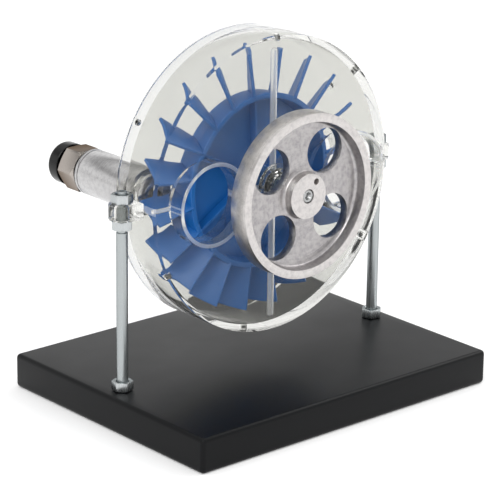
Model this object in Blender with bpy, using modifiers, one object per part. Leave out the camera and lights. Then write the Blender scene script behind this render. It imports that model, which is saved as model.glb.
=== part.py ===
"""Desktop air turbine model: a blue bladed wheel in a clear drum, with a flywheel in front.

Seen from the front (-Y) the flywheel faces the viewer, +X is to the right and +Z is up.
The origin is the middle of the base board's underside. All lengths are metres.

Turned pieces are drawn as (radius, forward) profiles round the wheel's axis, where forward
is the distance towards the viewer from the drum's middle plane. Clock angles are degrees
clockwise from twelve, as the viewer sees them.
"""

from math import cos, pi, radians, sin, sqrt, tan

import bmesh
import bpy
from mathutils import Matrix

# Clearance kept between pieces that touch, and how far a cutter runs past the piece it cuts
GAP = 0.0003
CUT_PAST = 0.002

# Sides of round pieces: the drum, the wheels, small turned pieces and drilled holes
DRUM_SEGMENTS = 60
WHEEL_SEGMENTS = 48
EXHAUST_SEGMENTS = 40
SMALL_SEGMENTS = 24
HOLE_SEGMENTS = 20
SCREW_SEGMENTS = 8
SHARP_ANGLE = 35

# Rotation that turns local Z to the viewer, for everything turned round the wheel's axis
AXIAL = (radians(90), 0, 0)

# Base board
BASE_WIDTH = 0.201
BASE_DEPTH = 0.157
BASE_THICKNESS = 0.019
BASE_EDGE_RADIUS = 0.0025
BASE_EDGE_SEGMENTS = 3

# Drum, whose axis is level and points to the viewer
DRUM_HEIGHT = 0.117
DRUM_RADIUS = 0.080
DRUM_LENGTH = 0.033
WALL_THICKNESS = 0.003
FRONT_PLATE_THICKNESS = 0.006
BACK_PLATE_THICKNESS = 0.006

# Openings and drilled bores of the plates
EXHAUST_RADIUS = 0.0225
EXHAUST_BORE_RADIUS = 0.0204
EXHAUST_FRONT = 0.0250
EXHAUST_OFFSET = 0.048
PORT_RADIUS = 0.0104
PORT_OFFSET = 0.0595
UPRIGHT_BORE_RADIUS = 0.0020
UPRIGHT_BORE_REACH = 0.0735
CROSS_BORE_RADIUS = 0.0012
RECESS_RADIUS = 0.0026
RECESS_INNER = 0.0145
RECESS_OUTER = 0.0195
BEARING_SEAT_RADIUS = 0.0078

# Bearings, their bosses and the shaft
SHAFT_RADIUS = 0.0035
BEARING_RADIUS = 0.0075
BEARING_LENGTH = 0.005
BOSS_FLANGE_RADIUS = 0.0120
BOSS_NOSE_RADIUS = 0.0098
BOSS_FLANGE = 0.0025
BOSS_NOSE = 0.0030
BOSS_BORE_RADIUS = 0.006
BOSS_LIP = 0.0016
SHAFT_CENTRE_RADIUS = 0.0021
SHAFT_CENTRE_DEPTH = 0.0018
SHAFT_TAIL = 0.0015
SHAFT_EDGE = 0.0004
SPACER_RADIUS = 0.0055
SPACER_SINK = 0.0020
REAR_COLLAR_RADIUS = 0.0070
REAR_COLLAR_LENGTH = 0.0050
RUNNING_GAP = 0.0005

# Turbine wheel
BLADE_COUNT = 20
BLADE_TIP_RADIUS = 0.071
BLADE_SWEEP = 8.2
BLADE_CAMBER = 0.35
BLADE_THICKNESS = 0.0018
BLADE_SINK = 0.0016
BLADE_CHORD_STEPS = 4
BLADE_SPAN_STEPS = 1
BLADE_EDGE_MARGIN = 0.0008
DISH_RADIUS = 0.048
DISH_WALL = 0.003
WHEEL_FRONT = 0.0055
WHEEL_BACK = -0.0090
WEB_THICKNESS = 0.004
WHEEL_BOSS_RADIUS = 0.009
RIB_COUNT = 6
RIB_THICKNESS = 0.0018
RIB_HEIGHT = 0.005
RIB_SINK = 0.002

# Clock angles of the wheel and the flywheel at rest
REST_TURN = 37.0
BLADE_PHASE = REST_TURN - 6.8
RIB_PHASE = REST_TURN + 21.5

# Flywheel
FLYWHEEL_RADIUS = 0.044
FLYWHEEL_FRONT = 0.0433
FLYWHEEL_THICKNESS = 0.011
FLYWHEEL_RIM = 0.0045
FLYWHEEL_RECESS = 0.006
FLYWHEEL_HUB_RADIUS = 0.012
FLYWHEEL_HUB_SET_BACK = 0.0006
FLYWHEEL_TAIL_RADIUS = 0.009
FLYWHEEL_TAIL = 0.004
FLYWHEEL_HOLES = 4
FLYWHEEL_HOLE_RADIUS = 0.0121
FLYWHEEL_HOLE_CIRCLE = 0.026
PIN_HOLE_RADIUS = 0.0017
PIN_HOLE_CIRCLE = 0.0088
PIN_HOLE_DEPTH = 0.006
EDGE_BREAK = 0.0005

# Posts, nuts and the lugs that carry the drum
POST_OFFSET = 0.089
POST_RADIUS = 0.003
POST_SINK = 0.014
POST_TOP_REACH = 0.0065
POST_EDGE = 0.0006
NUT_ACROSS_FLATS = 0.010
NUT_THICKNESS = 0.005
BASE_NUT_TURN = 12
LOWER_NUT_TURN = 40
UPPER_NUT_TURN = 5
LUG_THICKNESS = 0.0083
LUG_WIDTH = 0.014
LUG_CENTRE = DRUM_HEIGHT - 0.001
LUG_CORNER_STEPS = 16
LUG_OVERLAP = 0.004

# Small grub screws in the drum wall that press on the edges of the two plates
RIM_SCREW_RADIUS = 0.0014
RIM_SCREW_LENGTH = 0.0022
RIM_SCREW_SUNK = 0.0007
RIM_SCREW_SOCKET_RADIUS = 0.0007
RIM_SCREW_SOCKET_DEPTH = 0.0010
FRONT_SCREW_FORWARD = 0.0122
FRONT_SCREW_ANGLES = (2, 122, 242)
BACK_SCREW_ANGLES = (60, 180, 300)

# Air inlet behind the drum at nine o'clock
NOZZLE_SPIGOT_RADIUS = 0.0100
NOZZLE_BODY_RADIUS = 0.0125
NOZZLE_BODY_END = -0.0620
NOZZLE_JET_RADIUS = 0.003
NOZZLE_BORE_RADIUS = 0.006
NOZZLE_JET_LENGTH = 0.012
NOZZLE_CONE = 0.006
SEAL_RADIUS = 0.0118
SEAL_THICKNESS = 0.0014
HEX_ACROSS_FLATS = 0.022
HEX_LENGTH = 0.0135
HEX_SOCKET_RADIUS = 0.0088
HEX_FLOOR = 0.004
HEX_TURN = 30
HEX_CHAMFER_ANGLE = 30
HEX_FACE_RATIO = 0.97
COLLAR_RADIUS = 0.0114
COLLAR_LENGTH = 0.0085
COLLAR_TRAVEL = 0.0015
COLLAR_SLEEVE_RADIUS = 0.0083
COLLAR_SLEEVE = 0.0070
COLLAR_BORE_RADIUS = 0.0061
COLLAR_EDGE = 0.0015

# Places worked out from the sizes above
BASE_TOP = BASE_THICKNESS
PLATE_RADIUS = DRUM_RADIUS - WALL_THICKNESS - GAP
DRUM_FRONT = DRUM_LENGTH / 2
DRUM_BACK = -DRUM_LENGTH / 2
FRONT_PLATE_INNER = DRUM_FRONT - FRONT_PLATE_THICKNESS
FRONT_PLATE_MIDDLE = DRUM_FRONT - FRONT_PLATE_THICKNESS / 2
BACK_PLATE_INNER = DRUM_BACK + BACK_PLATE_THICKNESS
BACK_PLATE_MIDDLE = DRUM_BACK + BACK_PLATE_THICKNESS / 2
SHAFT_BORE = SHAFT_RADIUS + GAP
FLYWHEEL_BACK = FLYWHEEL_FRONT - FLYWHEEL_THICKNESS
FLYWHEEL_TAIL_END = FLYWHEEL_BACK - FLYWHEEL_TAIL
HEX_START = NOZZLE_BODY_END - SEAL_THICKNESS - 2 * GAP
HEX_END = HEX_START - HEX_LENGTH
COLLAR_START = HEX_END - COLLAR_TRAVEL - GAP
COLLAR_END = COLLAR_START - COLLAR_LENGTH

# Colour, roughness, metallic and transmission of each material
FINISHES = {
    "black board": ((0.012, 0.013, 0.016), 0.42, 0.0, 0.0),
    "zinc steel": ((0.62, 0.63, 0.64), 0.24, 1.0, 0.0),
    "clear acrylic": ((0.93, 0.95, 0.95), 0.03, 0.0, 0.9),
    "blue plastic": ((0.018, 0.095, 0.36), 0.45, 0.0, 0.0),
    "turned aluminium": ((0.60, 0.59, 0.58), 0.34, 1.0, 0.0),
    "bearing steel": ((0.42, 0.43, 0.44), 0.28, 1.0, 0.0),
    "nickel plate": ((0.50, 0.47, 0.44), 0.20, 1.0, 0.0),
    "dark steel": ((0.06, 0.06, 0.065), 0.40, 1.0, 0.0),
    "black plastic": ((0.008, 0.008, 0.009), 0.35, 0.0, 0.0),
    "black rubber": ((0.015, 0.015, 0.015), 0.70, 0.0, 0.0),
}


def empty_scene():
    """Remove whatever the file holds, so that the script can be run again."""
    for obj in list(bpy.data.objects):
        bpy.data.objects.remove(obj, do_unlink=True)


def new_collection(name):
    collection = bpy.data.collections.new(name)
    bpy.context.scene.collection.children.link(collection)
    return collection


def new_empty(name, location):
    empty = bpy.data.objects.new(name, None)
    empty.location = location
    empty.empty_display_size = 0.02
    PARTS.objects.link(empty)
    return empty


def new_material(name, finish):
    """A Principled material of its own for one named piece."""
    colour, roughness, metallic, transmission = FINISHES[finish]
    material = bpy.data.materials.new(name)
    material.use_nodes = True
    shader = material.node_tree.nodes["Principled BSDF"]
    shader.inputs["Base Color"].default_value = (*colour, 1.0)
    shader.inputs["Roughness"].default_value = roughness
    shader.inputs["Metallic"].default_value = metallic
    shader.inputs["Transmission Weight"].default_value = transmission
    material.diffuse_color = (*colour, 1.0)
    return material


def add_part(name, mesh, finish, parent, location=(0, 0, 0), rotation=(0, 0, 0)):
    """Link one finished piece to the parts collection."""
    obj = bpy.data.objects.new(name, mesh)
    obj.parent = parent
    obj.location = location
    obj.rotation_euler = rotation
    PARTS.objects.link(obj)
    if mesh.materials:
        obj.material_slots[0].link = "OBJECT"
        obj.material_slots[0].material = new_material(name, finish)
    else:
        mesh.materials.append(new_material(name, finish))
    return obj


def add_cutter(name, mesh, parent, location=(0, 0, 0), rotation=(0, 0, 0)):
    """Link a hidden helper shape that a Boolean modifier uses."""
    obj = bpy.data.objects.new(name, mesh)
    obj.parent = parent
    obj.location = location
    obj.rotation_euler = rotation
    obj.hide_render = True
    obj.display_type = "WIRE"
    CUTTERS.objects.link(obj)
    return obj


def combine(obj, other, operation):
    modifier = obj.modifiers.new(f"{operation.lower()} {other.name}", "BOOLEAN")
    modifier.operation = operation
    modifier.solver = "EXACT"
    modifier.object = other


def frozen_mesh(obj, name):
    """The evaluated mesh of a helper object, which is then removed."""
    bpy.context.view_layer.update()
    graph = bpy.context.evaluated_depsgraph_get()
    mesh = bpy.data.meshes.new_from_object(obj.evaluated_get(graph))
    mesh.name = name
    bpy.data.objects.remove(obj, do_unlink=True)
    return mesh


def mesh_from(bm, name):
    mesh = bpy.data.meshes.new(name)
    bm.to_mesh(mesh)
    bm.free()
    mesh.shade_smooth()
    mesh.set_sharp_from_angle(angle=radians(SHARP_ANGLE))
    return mesh


def bar_mesh(name, radius, low, high, segments=HOLE_SEGMENTS):
    """A straight round bar along local Z."""
    bm = bmesh.new()
    bmesh.ops.create_cone(
        bm, cap_ends=True, segments=segments, radius1=radius, radius2=radius, depth=high - low
    )
    bmesh.ops.translate(bm, verts=bm.verts, vec=(0, 0, (low + high) / 2))
    return mesh_from(bm, name)


def bars_mesh(name, radius, low, high, centres, segments=HOLE_SEGMENTS):
    """Several like bars along local Z, in one mesh, at the given (x, y) centres."""
    bm = bmesh.new()
    for x, y in centres:
        bmesh.ops.create_cone(
            bm,
            cap_ends=True,
            segments=segments,
            radius1=radius,
            radius2=radius,
            depth=high - low,
            matrix=Matrix.Translation((x, y, (low + high) / 2)),
        )
    return mesh_from(bm, name)


def box_mesh(name, size, centre=(0, 0, 0)):
    bm = bmesh.new()
    bmesh.ops.create_cube(bm, size=1.0)
    bmesh.ops.scale(bm, vec=size, verts=bm.verts)
    bmesh.ops.translate(bm, vec=centre, verts=bm.verts)
    return mesh_from(bm, name)


def profile_mesh(name, profile, closed):
    """The line that a Screw modifier turns: (radius, height) points, down the outer side."""
    bm = bmesh.new()
    points = [bm.verts.new((radius, 0, height)) for radius, height in profile]
    for first, second in zip(points, points[1:]):
        bm.edges.new((first, second))
    if closed:
        bm.edges.new((points[-1], points[0]))
    mesh = bpy.data.meshes.new(name)
    bm.to_mesh(mesh)
    bm.free()
    return mesh


def add_screw(obj, segments):
    screw = obj.modifiers.new("turn", "SCREW")
    screw.axis = "Z"
    screw.angle = 2 * pi
    screw.steps = segments
    screw.render_steps = segments
    screw.use_merge_vertices = True
    screw.merge_threshold = 0.00001
    return obj


def add_turned(name, profile, finish, parent, location=(0, 0, 0), segments=SMALL_SEGMENTS, closed=True):
    """A turned piece whose axis points to the viewer."""
    mesh = profile_mesh(name, profile, closed)
    obj = add_part(name, mesh, finish, parent, location, AXIAL)
    return add_screw(obj, segments)


def clock(radius, angle):
    """Local (x, y) of a point at a clock angle, for pieces whose local Z points to the viewer."""
    return radius * sin(radians(angle)), radius * cos(radians(angle))


def plain_ring(outer, inner, low, high):
    """Profile of a ring with square edges."""
    return [(outer, high), (outer, low), (inner, low), (inner, high)]


def chamfered_ring(outer, inner, low, high, chamfer):
    """Profile of a ring with its two outer edges broken."""
    return [
        (outer - chamfer, high),
        (outer, high - chamfer),
        (outer, low + chamfer),
        (outer - chamfer, low),
        (inner, low),
        (inner, high),
    ]


def hex_mesh(name, across_flats, low, high, limit_profile):
    """A hexagon bar along local Z, trimmed to a turned profile that gives its chamfers and bore."""
    corner = across_flats / sqrt(3)
    stock = add_cutter(name + " stock", bar_mesh(name, corner, low, high, segments=6), None)
    limit = add_cutter(name + " limit", profile_mesh(name, limit_profile, True), None)
    add_screw(limit, HOLE_SEGMENTS)
    combine(stock, limit, "INTERSECT")
    mesh = frozen_mesh(stock, name)
    bpy.data.objects.remove(limit, do_unlink=True)
    return mesh


def hex_limit(across_flats, low, high, bore):
    """Turned limits of a hexagon piece: chamfers outside, then its bore points."""
    corner = across_flats / sqrt(3) + GAP
    face = across_flats / 2 * HEX_FACE_RATIO
    drop = (corner - face) * tan(radians(HEX_CHAMFER_ANGLE))
    return [(face, high), (corner, high - drop), (corner, low + drop), (face, low)] + bore


def build_base():
    board = add_part(
        "base_board",
        box_mesh("base_board", (BASE_WIDTH, BASE_DEPTH, BASE_THICKNESS), (0, 0, BASE_THICKNESS / 2)),
        "black board",
        None,
    )
    bevel = board.modifiers.new("rounded edges", "BEVEL")
    bevel.width = BASE_EDGE_RADIUS
    bevel.segments = BASE_EDGE_SEGMENTS
    bevel.limit_method = "ANGLE"
    holes = bars_mesh(
        "post holes",
        POST_RADIUS + GAP,
        BASE_TOP - POST_SINK - GAP,
        BASE_TOP + CUT_PAST,
        [(-POST_OFFSET, 0), (POST_OFFSET, 0)],
    )
    combine(board, add_cutter("post holes", holes, None), "DIFFERENCE")


def build_posts():
    """Two upright rods, each with a nut on the board and a nut below and above its lug."""
    lug_low = LUG_CENTRE - LUG_THICKNESS / 2
    lug_high = LUG_CENTRE + LUG_THICKNESS / 2
    top = lug_high + POST_TOP_REACH
    low = BASE_TOP - POST_SINK
    rod_profile = [
        (0, top),
        (POST_RADIUS - POST_EDGE, top),
        (POST_RADIUS, top - POST_EDGE),
        (POST_RADIUS, low),
        (0, low),
    ]
    bore = [(POST_RADIUS + GAP, 0), (POST_RADIUS + GAP, NUT_THICKNESS)]
    limit = hex_limit(NUT_ACROSS_FLATS, 0, NUT_THICKNESS, bore)
    nut = hex_mesh("nut", NUT_ACROSS_FLATS, 0, NUT_THICKNESS, limit)
    nut_places = {
        "base_nut": (BASE_TOP + GAP, BASE_NUT_TURN),
        "lower_nut": (lug_low - GAP - NUT_THICKNESS, LOWER_NUT_TURN),
        "upper_nut": (lug_high + GAP, UPPER_NUT_TURN),
    }
    for side, sign in (("left", -1), ("right", 1)):
        name = f"post_{side}"
        rod = add_part(
            name, profile_mesh(name, rod_profile, False), "zinc steel", None, (sign * POST_OFFSET, 0, 0)
        )
        add_screw(rod, HOLE_SEGMENTS)
        for kind, (height, turn) in nut_places.items():
            add_part(
                f"{kind}_{side}",
                nut,
                "zinc steel",
                None,
                (sign * POST_OFFSET, 0, height),
                (0, 0, radians(turn * sign)),
            )


def lug_outline(bm):
    """Plan of the left lug: round about the post, square where it meets the drum."""
    half = LUG_WIDTH / 2
    reach = POST_OFFSET - DRUM_RADIUS + LUG_OVERLAP
    points = [(reach, -half), (reach, half)]
    for step in range(LUG_CORNER_STEPS + 1):
        angle = pi / 2 + pi * step / LUG_CORNER_STEPS
        points.append((half * cos(angle), half * sin(angle)))
    return [bm.verts.new((x, y, -LUG_THICKNESS / 2)) for x, y in points]


def build_lugs():
    """Clear lugs between the nuts, hollowed to sit against the drum."""
    drum = add_cutter(
        "drum clearance",
        bar_mesh("drum clearance", DRUM_RADIUS + GAP, DRUM_BACK, DRUM_FRONT, DRUM_SEGMENTS),
        DRUM,
        (0, 0, 0),
        AXIAL,
    )
    for side, sign in (("left", -1), ("right", 1)):
        name = f"lug_{side}"
        bm = bmesh.new()
        plan = bm.faces.new(lug_outline(bm))
        raised = bmesh.ops.extrude_face_region(bm, geom=[plan])
        top = [item for item in raised["geom"] if isinstance(item, bmesh.types.BMVert)]
        bmesh.ops.translate(bm, verts=top, vec=(0, 0, LUG_THICKNESS))
        bmesh.ops.recalc_face_normals(bm, faces=bm.faces)
        turn = 0 if sign < 0 else pi
        lug = add_part(
            name, mesh_from(bm, name), "clear acrylic", None,
            (sign * POST_OFFSET, 0, LUG_CENTRE), (0, 0, turn),
        )
        hole = add_cutter(
            f"lug hole {side}",
            bar_mesh("lug hole", POST_RADIUS + GAP, -LUG_THICKNESS, LUG_THICKNESS),
            None,
            (sign * POST_OFFSET, 0, LUG_CENTRE),
        )
        combine(lug, hole, "DIFFERENCE")
        combine(lug, drum, "DIFFERENCE")


def rim_screw_holes(forward, angles):
    """Cutters for the screw holes through the drum wall at the given clock angles."""
    low = DRUM_RADIUS - WALL_THICKNESS - CUT_PAST
    mesh = bar_mesh(
        "rim screw hole", RIM_SCREW_RADIUS + GAP, low, DRUM_RADIUS + CUT_PAST, SCREW_SEGMENTS
    )
    return [
        add_cutter(f"rim screw hole {angle}", mesh, DRUM, (0, -forward, 0), (0, radians(angle), 0))
        for angle in angles
    ]


def build_rim_screws():
    """Six grub screws: three on the front plate's edge and three on the back plate's."""
    rows = (
        ("front", FRONT_SCREW_FORWARD, FRONT_SCREW_ANGLES),
        ("back", BACK_PLATE_MIDDLE, BACK_SCREW_ANGLES),
    )
    high = DRUM_RADIUS - RIM_SCREW_SUNK
    profile = [
        (0, high - RIM_SCREW_SOCKET_DEPTH),
        (RIM_SCREW_SOCKET_RADIUS, high - RIM_SCREW_SOCKET_DEPTH),
        (RIM_SCREW_SOCKET_RADIUS, high),
        (RIM_SCREW_RADIUS, high),
        (RIM_SCREW_RADIUS, high - RIM_SCREW_LENGTH),
        (0, high - RIM_SCREW_LENGTH),
    ]
    for row, forward, angles in rows:
        for number, angle in enumerate(angles, start=1):
            name = f"rim_screw_{row}_{number}"
            screw = add_part(
                name,
                profile_mesh(name, profile, False),
                "dark steel",
                DRUM,
                (0, -forward, 0),
                (0, radians(angle), 0),
            )
            add_screw(screw, SCREW_SEGMENTS)


def build_drum():
    """The clear tube and the two clear plates set into its ends."""
    ring = add_turned(
        "casing_ring",
        plain_ring(DRUM_RADIUS, DRUM_RADIUS - WALL_THICKNESS, DRUM_BACK, DRUM_FRONT),
        "clear acrylic",
        DRUM,
        segments=DRUM_SEGMENTS,
    )
    front_holes = rim_screw_holes(FRONT_SCREW_FORWARD, FRONT_SCREW_ANGLES)
    back_holes = rim_screw_holes(BACK_PLATE_MIDDLE, BACK_SCREW_ANGLES)
    for hole in front_holes + back_holes:
        combine(ring, hole, "DIFFERENCE")
    build_front_plate()
    build_back_plate()


def build_front_plate():
    """Front plate: two exhaust holes, a bearing seat and the bores drilled across it."""
    plate = add_turned(
        "front_plate",
        plain_ring(PLATE_RADIUS, BEARING_SEAT_RADIUS, FRONT_PLATE_INNER, DRUM_FRONT),
        "clear acrylic",
        DRUM,
        segments=DRUM_SEGMENTS,
    )
    exhausts = bars_mesh(
        "exhaust holes",
        EXHAUST_RADIUS + GAP,
        FRONT_PLATE_INNER - CUT_PAST,
        DRUM_FRONT + CUT_PAST,
        [(-EXHAUST_OFFSET, 0), (EXHAUST_OFFSET, 0)],
        segments=EXHAUST_SEGMENTS,
    )
    combine(plate, add_cutter("exhaust holes", exhausts, DRUM, (0, 0, 0), AXIAL), "DIFFERENCE")
    middle = (0, -FRONT_PLATE_MIDDLE, 0)
    upright = bar_mesh("upright bore", UPRIGHT_BORE_RADIUS, -UPRIGHT_BORE_REACH, UPRIGHT_BORE_REACH)
    combine(plate, add_cutter("upright bore", upright, DRUM, middle), "DIFFERENCE")
    level = (0, radians(90), 0)
    across = bar_mesh("cross bore", CROSS_BORE_RADIUS, -DRUM_RADIUS, DRUM_RADIUS)
    combine(plate, add_cutter("cross bore", across, DRUM, middle, level), "DIFFERENCE")
    for side, sign in (("left", -1), ("right", 1)):
        low, high = sorted((sign * RECESS_INNER, sign * RECESS_OUTER))
        recess = bar_mesh(f"recess {side}", RECESS_RADIUS, low, high)
        combine(plate, add_cutter(f"recess {side}", recess, DRUM, middle, level), "DIFFERENCE")


def build_exhausts():
    """Two short clear tubes that stand out of the front plate and let the air away."""
    for side, sign in (("left", -1), ("right", 1)):
        add_turned(
            f"exhaust_tube_{side}",
            plain_ring(EXHAUST_RADIUS, EXHAUST_BORE_RADIUS, FRONT_PLATE_INNER, EXHAUST_FRONT),
            "clear acrylic",
            DRUM,
            (sign * EXHAUST_OFFSET, 0, 0),
            EXHAUST_SEGMENTS,
        )


def build_back_plate():
    """Back plate: a port each side at the height of the axis, the left one for the nozzle."""
    plate = add_turned(
        "back_plate",
        plain_ring(PLATE_RADIUS, BEARING_SEAT_RADIUS, DRUM_BACK, BACK_PLATE_INNER),
        "clear acrylic",
        DRUM,
        segments=DRUM_SEGMENTS,
    )
    ports = bars_mesh(
        "nozzle ports",
        PORT_RADIUS,
        DRUM_BACK - CUT_PAST,
        BACK_PLATE_INNER + CUT_PAST,
        [(-PORT_OFFSET, 0), (PORT_OFFSET, 0)],
        segments=SMALL_SEGMENTS,
    )
    combine(plate, add_cutter("nozzle ports", ports, DRUM, (0, 0, 0), AXIAL), "DIFFERENCE")


def build_bearings():
    """A ball bearing in the middle of each plate and a clear stepped boss outside it."""
    front_start = DRUM_FRONT + GAP
    front_step = front_start + BOSS_FLANGE
    front_end = front_step + BOSS_NOSE
    add_turned(
        "front_bearing_boss",
        [
            (BOSS_BORE_RADIUS + BOSS_LIP, front_end),
            (BOSS_NOSE_RADIUS, front_end),
            (BOSS_NOSE_RADIUS, front_step),
            (BOSS_FLANGE_RADIUS, front_step),
            (BOSS_FLANGE_RADIUS, front_start),
            (BOSS_BORE_RADIUS, front_start),
            (BOSS_BORE_RADIUS, front_end - BOSS_LIP),
        ],
        "clear acrylic",
        DRUM,
    )
    back_start = DRUM_BACK - GAP
    back_end = back_start - BOSS_FLANGE - BOSS_NOSE
    add_turned(
        "back_bearing_boss",
        [
            (BOSS_FLANGE_RADIUS, back_start),
            (BOSS_FLANGE_RADIUS, back_start - BOSS_FLANGE),
            (BOSS_NOSE_RADIUS, back_start - BOSS_FLANGE),
            (BOSS_NOSE_RADIUS, back_end),
            (BOSS_BORE_RADIUS, back_end),
            (BOSS_BORE_RADIUS, back_start),
        ],
        "clear acrylic",
        DRUM,
    )
    seats = {
        "front_bearing": DRUM_FRONT - GAP - BEARING_LENGTH,
        "back_bearing": DRUM_BACK + GAP,
    }
    for name, low in seats.items():
        add_turned(
            name,
            plain_ring(BEARING_RADIUS, SHAFT_BORE, low, low + BEARING_LENGTH),
            "bearing steel",
            DRUM,
        )


def blade_surface(bm, centre_angle):
    """One blade's middle surface, swept back clockwise and curved like a shallow scoop."""
    grid = bmesh.ops.create_grid(
        bm, x_segments=BLADE_CHORD_STEPS, y_segments=BLADE_SPAN_STEPS, size=0.5
    )
    root = DISH_RADIUS - BLADE_SINK
    front = WHEEL_FRONT - BLADE_EDGE_MARGIN
    back = WHEEL_BACK + BLADE_EDGE_MARGIN
    for vert in grid["verts"]:
        along = vert.co.x + 0.5
        out = vert.co.y + 0.5
        bow = BLADE_CAMBER * along * (1 - along)
        angle = centre_angle + BLADE_SWEEP * (along + bow - 0.5 - BLADE_CAMBER / 6)
        radius = root + out * (BLADE_TIP_RADIUS - root)
        x, y = clock(radius, angle)
        vert.co = (x, y, front + along * (back - front))


def build_wheel():
    """The one-piece blue wheel: dish, web with ribs, boss and twenty blades."""
    web_front = WHEEL_BACK + WEB_THICKNESS
    wheel = add_turned(
        "turbine_wheel",
        [
            (DISH_RADIUS, WHEEL_FRONT),
            (DISH_RADIUS, WHEEL_BACK),
            (SHAFT_BORE, WHEEL_BACK),
            (SHAFT_BORE, WHEEL_FRONT),
            (WHEEL_BOSS_RADIUS, WHEEL_FRONT),
            (WHEEL_BOSS_RADIUS, web_front),
            (DISH_RADIUS - DISH_WALL, web_front),
            (DISH_RADIUS - DISH_WALL, WHEEL_FRONT),
        ],
        "blue plastic",
        ROTOR,
        segments=WHEEL_SEGMENTS,
    )
    bm = bmesh.new()
    for index in range(BLADE_COUNT):
        blade_surface(bm, BLADE_PHASE + 360 / BLADE_COUNT * index)
    blades = add_cutter("blades", mesh_from(bm, "blades"), ROTOR, (0, 0, 0), AXIAL)
    thickness = blades.modifiers.new("thickness", "SOLIDIFY")
    thickness.thickness = BLADE_THICKNESS
    thickness.offset = 0
    combine(wheel, blades, "UNION")

    bm = bmesh.new()
    inner = WHEEL_BOSS_RADIUS - RIB_SINK
    outer = DISH_RADIUS - DISH_WALL / 2
    size = (RIB_THICKNESS, outer - inner, RIB_HEIGHT + RIB_SINK)
    middle = (0, (inner + outer) / 2, web_front + (RIB_HEIGHT - RIB_SINK) / 2)
    for index in range(RIB_COUNT):
        turn = Matrix.Rotation(radians(-RIB_PHASE - 360 / RIB_COUNT * index), 4, "Z")
        place = turn @ Matrix.Translation(middle) @ Matrix.Diagonal((*size, 1))
        bmesh.ops.create_cube(bm, size=1.0, matrix=place)
    ribs = add_cutter("ribs", mesh_from(bm, "ribs"), ROTOR, (0, 0, 0), AXIAL)
    combine(wheel, ribs, "UNION")


def build_flywheel():
    """Turned flywheel: heavy rim, recessed web with four holes, and a hub with a pin hole."""
    web_front = FLYWHEEL_FRONT - FLYWHEEL_RECESS
    rim_inner = FLYWHEEL_RADIUS - FLYWHEEL_RIM
    hub_front = FLYWHEEL_FRONT - FLYWHEEL_HUB_SET_BACK
    flywheel = add_turned(
        "flywheel",
        [
            (FLYWHEEL_RADIUS - EDGE_BREAK, FLYWHEEL_FRONT),
            (FLYWHEEL_RADIUS, FLYWHEEL_FRONT - EDGE_BREAK),
            (FLYWHEEL_RADIUS, FLYWHEEL_BACK),
            (FLYWHEEL_TAIL_RADIUS, FLYWHEEL_BACK),
            (FLYWHEEL_TAIL_RADIUS, FLYWHEEL_TAIL_END),
            (SHAFT_BORE, FLYWHEEL_TAIL_END),
            (SHAFT_BORE, hub_front),
            (FLYWHEEL_HUB_RADIUS, hub_front),
            (FLYWHEEL_HUB_RADIUS, web_front),
            (rim_inner, web_front),
            (rim_inner, FLYWHEEL_FRONT - EDGE_BREAK),
            (rim_inner + EDGE_BREAK, FLYWHEEL_FRONT),
        ],
        "turned aluminium",
        ROTOR,
        segments=WHEEL_SEGMENTS,
    )
    centres = [
        clock(FLYWHEEL_HOLE_CIRCLE, REST_TURN + 360 / FLYWHEEL_HOLES * index)
        for index in range(FLYWHEEL_HOLES)
    ]
    holes = bars_mesh(
        "flywheel holes",
        FLYWHEEL_HOLE_RADIUS,
        FLYWHEEL_BACK - CUT_PAST,
        web_front + CUT_PAST,
        centres,
        SMALL_SEGMENTS,
    )
    combine(flywheel, add_cutter("flywheel holes", holes, ROTOR, (0, 0, 0), AXIAL), "DIFFERENCE")
    pin_place = clock(PIN_HOLE_CIRCLE, REST_TURN)
    pin_hole = bars_mesh(
        "pin hole",
        PIN_HOLE_RADIUS,
        hub_front - PIN_HOLE_DEPTH,
        hub_front + CUT_PAST,
        [pin_place],
        SCREW_SEGMENTS,
    )
    combine(flywheel, add_cutter("pin hole", pin_hole, ROTOR, (0, 0, 0), AXIAL), "DIFFERENCE")


def build_shaft():
    """The steel shaft, a spacer behind the flywheel and a collar behind the back bearing."""
    front = FLYWHEEL_FRONT - FLYWHEEL_HUB_SET_BACK - GAP
    boss_end = DRUM_FRONT + GAP + BOSS_FLANGE + BOSS_NOSE
    collar_front = DRUM_BACK - 2 * GAP - BOSS_FLANGE - BOSS_NOSE - RUNNING_GAP
    collar_back = collar_front - REAR_COLLAR_LENGTH
    shaft_back = collar_back - SHAFT_TAIL
    add_turned(
        "shaft",
        [
            (0, front - SHAFT_CENTRE_DEPTH),
            (SHAFT_CENTRE_RADIUS, front),
            (SHAFT_RADIUS - SHAFT_EDGE, front),
            (SHAFT_RADIUS, front - SHAFT_EDGE),
            (SHAFT_RADIUS, shaft_back + SHAFT_EDGE),
            (SHAFT_RADIUS - SHAFT_EDGE, shaft_back),
            (0, shaft_back),
        ],
        "bearing steel",
        ROTOR,
        closed=False,
    )
    add_turned(
        "shaft_spacer",
        plain_ring(SPACER_RADIUS, SHAFT_BORE, boss_end - SPACER_SINK, FLYWHEEL_TAIL_END - GAP),
        "zinc steel",
        ROTOR,
    )
    add_turned(
        "rear_collar",
        chamfered_ring(REAR_COLLAR_RADIUS, SHAFT_BORE, collar_back, collar_front, EDGE_BREAK),
        "zinc steel",
        ROTOR,
    )


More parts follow.
